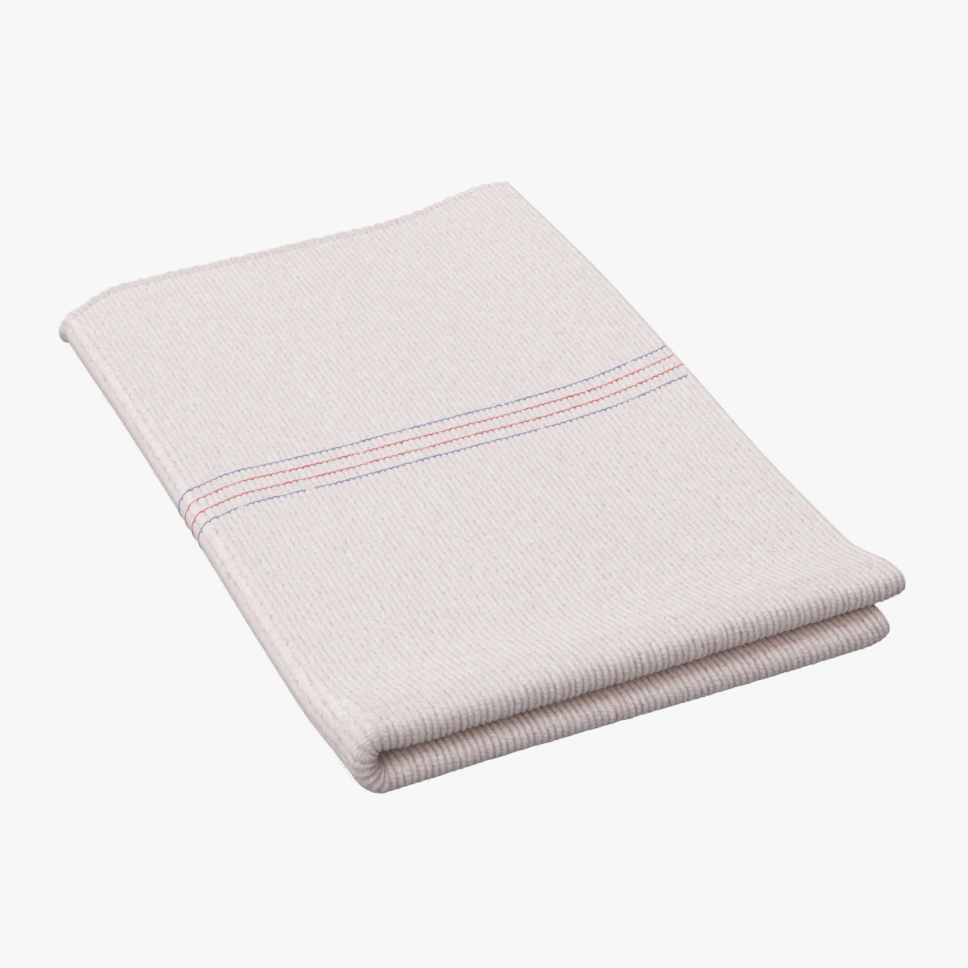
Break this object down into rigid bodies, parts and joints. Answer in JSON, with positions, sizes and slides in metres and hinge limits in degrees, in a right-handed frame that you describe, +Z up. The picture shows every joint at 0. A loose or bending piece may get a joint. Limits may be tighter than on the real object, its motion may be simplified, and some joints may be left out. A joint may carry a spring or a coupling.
{
  "type": "folded cleaning cloth",
  "caption": "Ribbed cotton cleaning cloth folded in four, with fine coloured threads across its middle, lying flat.",
  "frame": {"origin": "middle of the folded cloth's footprint, on the surface it lies on", "axes": "+Z up, +Y from the thick front fold towards the open hems and along the ribs, +X from the left fold towards the open selvedges"},
  "size_m": [0.2632, 0.4098, 0.0291],
  "materials": {
    "cotton": "undyed off-white ribbed cotton, matt and slightly fuzzy",
    "blue_thread": "blue cotton thread",
    "red_thread": "red cotton thread"
  },
  "bodies": {
    "root": {"cloth": "cotton"}
  },
  "joints": []
}
